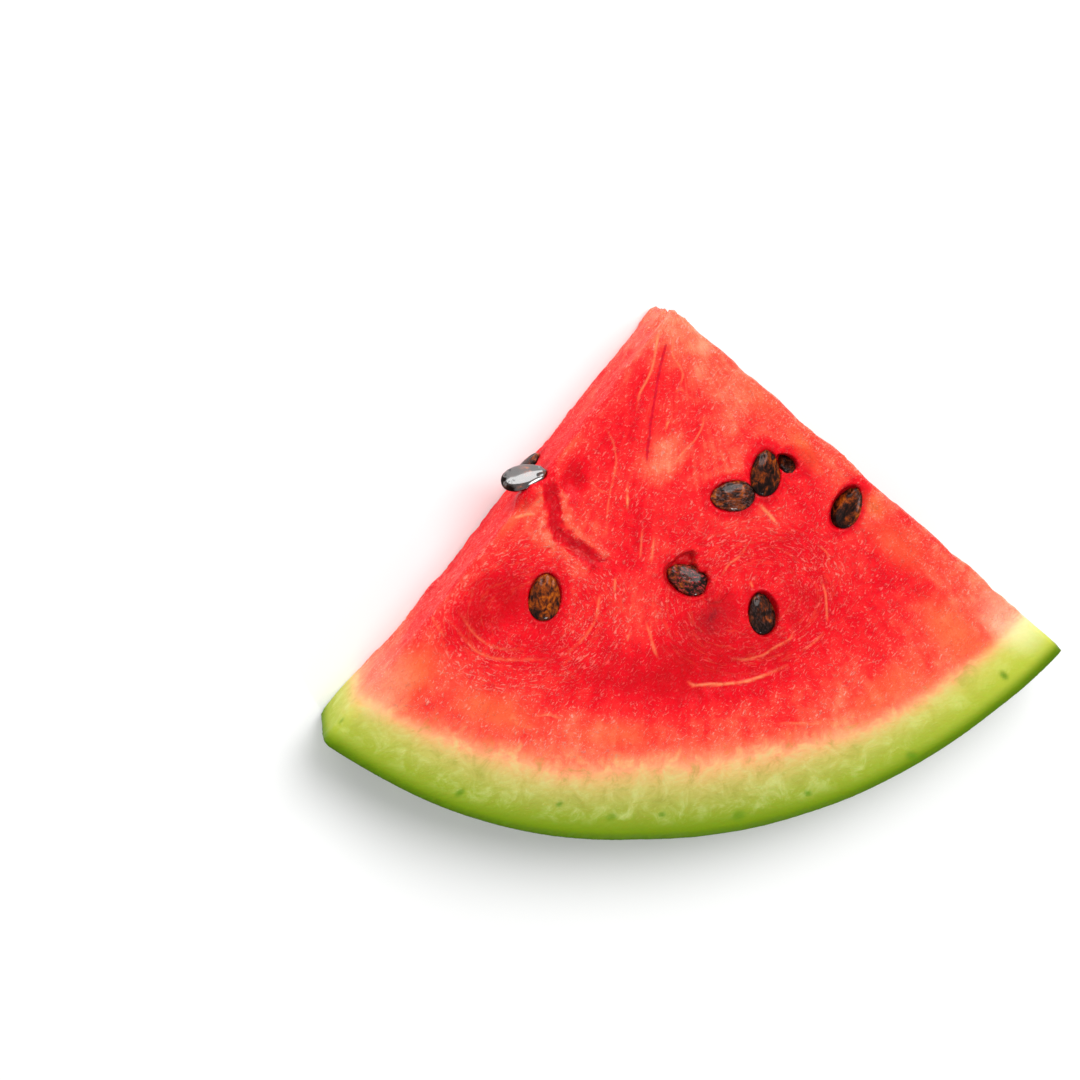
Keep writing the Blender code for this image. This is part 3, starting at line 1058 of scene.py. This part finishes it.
def make_shell(name):
    """A seed's shell: dark brown, with streaks and blotches of amber along its length."""
    amber, crinkle, film, film_colour = SHELLS[name]
    finish = Finish(name + "_shell")
    grain_place = finish.attribute("grain", "Vector")
    tip = finish.attribute("tip")
    streak_place = finish.vector("MULTIPLY", grain_place, (0.35, 0.9, 1.0))
    long_streaks = finish.noise(streak_place, 1.0, 4.0, 0.65, 1.2)
    blotches = finish.noise(grain_place, 0.48, 3.0, 0.6, 0.8)
    specks = finish.noise(grain_place, 2.4, 3.0, 0.6)
    share = (long_streaks - 0.5) * 1.9 + (blotches - 0.5) * 2.0 + (specks - 0.5) * 0.4 + amber
    share = share + tip.step(0.72, 0.95) * 0.15 - tip.step(-0.35, -0.75) * 0.25
    colour = finish.ramp(share.clamped(), SHELL, smoothly=False)
    wrinkle_place = finish.vector("MULTIPLY", grain_place, (0.8, 1.3, 1.0))
    wrinkles = finish.noise(wrinkle_place, 1.7, 3.0, 0.6, 0.4)
    colour = finish.mix(wrinkles.step(0.50, 0.68) * film, colour, film_colour)
    height = wrinkles * (0.3 + crinkle) + specks * 0.2
    finish.set(
        Base_Color=colour,
        Roughness=0.26 + (wrinkles - 0.5) * 0.2,
        Normal=finish.bump(height, 0.35 + 0.45 * crinkle, 0.18 * MM),
        Coat_Weight=0.20 + 0.25 * crinkle,
        Coat_Roughness=0.08,
        Coat_IOR=1.4,
        Specular_IOR_Level=0.05,
    )
    if name == "wet":
        seed = SEEDS["seed_left_proud"]
        behind = finish.vector("SUBTRACT", finish.place, tuple(seed.centre))
        behind = finish.vector("DOT_PRODUCT", behind, WET_SIDE, output="Value")
        finish.set(Coat_Weight=(behind + (blotches - 0.5) * 5.0).step(-1.6, -0.8), Coat_IOR=2.35)
    return finish.material


# --- Seeds -----------------------------------------------------------------------------------------

def seed_shape():
    """A flat drop with a blunt beak and two small shoulders, 2 long, 2 wide and 2 deep."""
    clear_selection()
    bpy.ops.mesh.primitive_uv_sphere_add(
        segments=SEED_SEGMENTS, ring_count=SEED_RINGS, radius=1, rotation=(0, math.pi / 2, 0)
    )
    seed = added("seed_shape")
    sphere = points_of(seed.data)
    along = sphere[:, 0]
    ring = np.sqrt(np.maximum(1e-9, 1 - along ** 2))
    across = sphere[:, 1] / ring
    deep = sphere[:, 2] / ring
    outline = ring ** 0.92 * (1 - 0.20 * along - 0.06 * along ** 2)
    outline = outline - 0.10 * np.exp(-((along - 0.93) / 0.07) ** 2)
    outline = outline + 0.035 * np.exp(-((along - 0.78) / 0.07) ** 2)
    outline = outline / outline.max()
    width = np.sign(across) * np.abs(across) ** 0.95 * outline
    fullness = ring ** 0.72 * (1 - 0.14 * along)
    depth = np.sign(deep) * np.abs(deep) ** 0.80 * fullness / fullness.max()
    notch = np.exp(-(((along - 0.72) / 0.13) ** 2 + ((np.abs(width) - 0.30) / 0.11) ** 2))
    depth = depth * (1 - 0.32 * notch)
    move_points(seed.data, np.column_stack([along, width, depth]))
    return seed


def make_seed(shape, node, number, shell, crinkle):
    """One seed, in the place of its CAD solid."""
    place = SEEDS[node]
    seed = shape.copy()
    seed.data = shape.data.copy()
    seed.name = node.replace("seed_", "") + "_seed"
    seed.data.name = seed.name
    bpy.context.scene.collection.objects.link(seed)
    unit = points_of(seed.data)
    local = unit * place.half
    wrinkle = ripple(local, 1.1 * MM, number) + 0.5 * ripple(local, 0.5 * MM, number + 40)
    bulge = 1 + (0.012 + 0.03 * crinkle) * wrinkle
    lumpy = local * np.column_stack([np.ones_like(bulge), bulge, 1 + (bulge - 1) * 2])
    move_points(seed.data, place.centre + lumpy @ place.axes)
    write_attribute(seed.data, "grain", local / MM + number * 23.7)
    write_attribute(seed.data, "tip", unit[:, 0].copy())
    seed.data.materials.clear()
    seed.data.materials.append(shell)
    seed.data.shade_smooth()
    return seed


# --- The stage -------------------------------------------------------------------------------------

CAMERA_PLACE = Vector((-119.8, 95.0, 571.6)) * MM
CAMERA_AIM = Vector((-34.5, 12.7, 24.0)) * MM
CAMERA_TURN = 5.2          # degrees that the picture's upright leans from +Y towards +X
LENS = 85.0
FLOOR_RADIUS = 4.0
WORLD_LIGHT = 0.50

# The round lights: name, place, size and watts.
LIGHTS = [
    ("key", (0.22, 0.40, 0.80), 0.60, 6.8),
    ("fill", (-0.70, 0.35, 0.30), 0.60, 0.5),
    ("back", (-0.22, 1.00, 0.18), 0.90, 7.5),
    ("spark", (0.10, -0.55, 0.42), 0.07, 0.7),
]


def aim(thing, place, target, upright):
    """Places a camera or a light so that it looks at the target, with this direction up."""
    back = (place - target).normalized()
    across = upright.cross(back).normalized()
    turn = Matrix((across, back.cross(across), back)).transposed().to_4x4()
    thing.matrix_world = Matrix.Translation(place) @ turn


def make_camera():
    camera = bpy.data.objects.new("camera", bpy.data.cameras.new("camera"))
    bpy.context.scene.collection.objects.link(camera)
    camera.data.lens = LENS
    camera.data.clip_start = 0.01
    lean = math.radians(CAMERA_TURN)
    aim(camera, CAMERA_PLACE, CAMERA_AIM, Vector((math.sin(lean), math.cos(lean), 0)))
    bpy.context.scene.camera = camera


def make_light(name, place, size, watts):
    data = bpy.data.lights.new(name, "AREA")
    data.shape = "DISK"
    data.size = size
    data.energy = watts
    light = bpy.data.objects.new(name, data)
    light.visible_camera = False
    bpy.context.scene.collection.objects.link(light)
    aim(light, Vector(place), Vector((0, 0, 0.01)), Vector((0, 1, 0.01)))


def make_stage():
    clear_selection()
    bpy.ops.mesh.primitive_circle_add(vertices=96, radius=FLOOR_RADIUS, fill_type="NGON")
    floor = added("floor")
    finish = Finish("pale_floor")
    cloud = finish.noise(finish.place, 3.0, 2.0)
    tone = finish.ramp(cloud, [(0.0, (0.86, 0.86, 0.86)), (1.0, (0.89, 0.89, 0.89))])
    finish.set(Base_Color=tone, Roughness=0.75, Specular_IOR_Level=0.2)
    floor.data.materials.append(finish.material)
    world = bpy.data.worlds.new("studio")
    world.use_nodes = True
    background = world.node_tree.nodes["Background"]
    background.inputs["Color"].default_value = (1, 1, 1, 1)
    background.inputs["Strength"].default_value = WORLD_LIGHT
    bpy.context.scene.world = world
    for row in LIGHTS:
        make_light(*row)
    bpy.context.scene.view_settings.view_transform = "Standard"


# --- Putting it together ---------------------------------------------------------------------------

# Each seed's shell, where it isn't plain brown.
KINDS = {
    "seed_top_amber": "amber",
    "seed_top_level": "crinkled",
    "seed_top_flapped": "veiled",
    "seed_top_dark": "dark",
    "seed_top_tucked": "dark",
    "seed_left_edge_on": "dark",
    "seed_left_proud": "wet",
}


def main():
    make_camera()
    make_stage()
    wedge = cut_wedge()
    shape_wedge(wedge)
    wedge.data.shade_smooth()
    wedge.data.materials.clear()
    wedge.data.materials.append(make_flesh())
    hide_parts("wedge")
    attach(wedge, "root")
    shells = {name: make_shell(name) for name in SHELLS}
    shape = seed_shape()
    for number, node in enumerate(sorted(SEEDS)):
        kind = KINDS.get(node, "brown")
        seed = make_seed(shape, node, number, shells[kind], SHELLS[kind][1])
        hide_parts(node)
        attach(seed, "root")
    bpy.data.objects.remove(shape)


main()
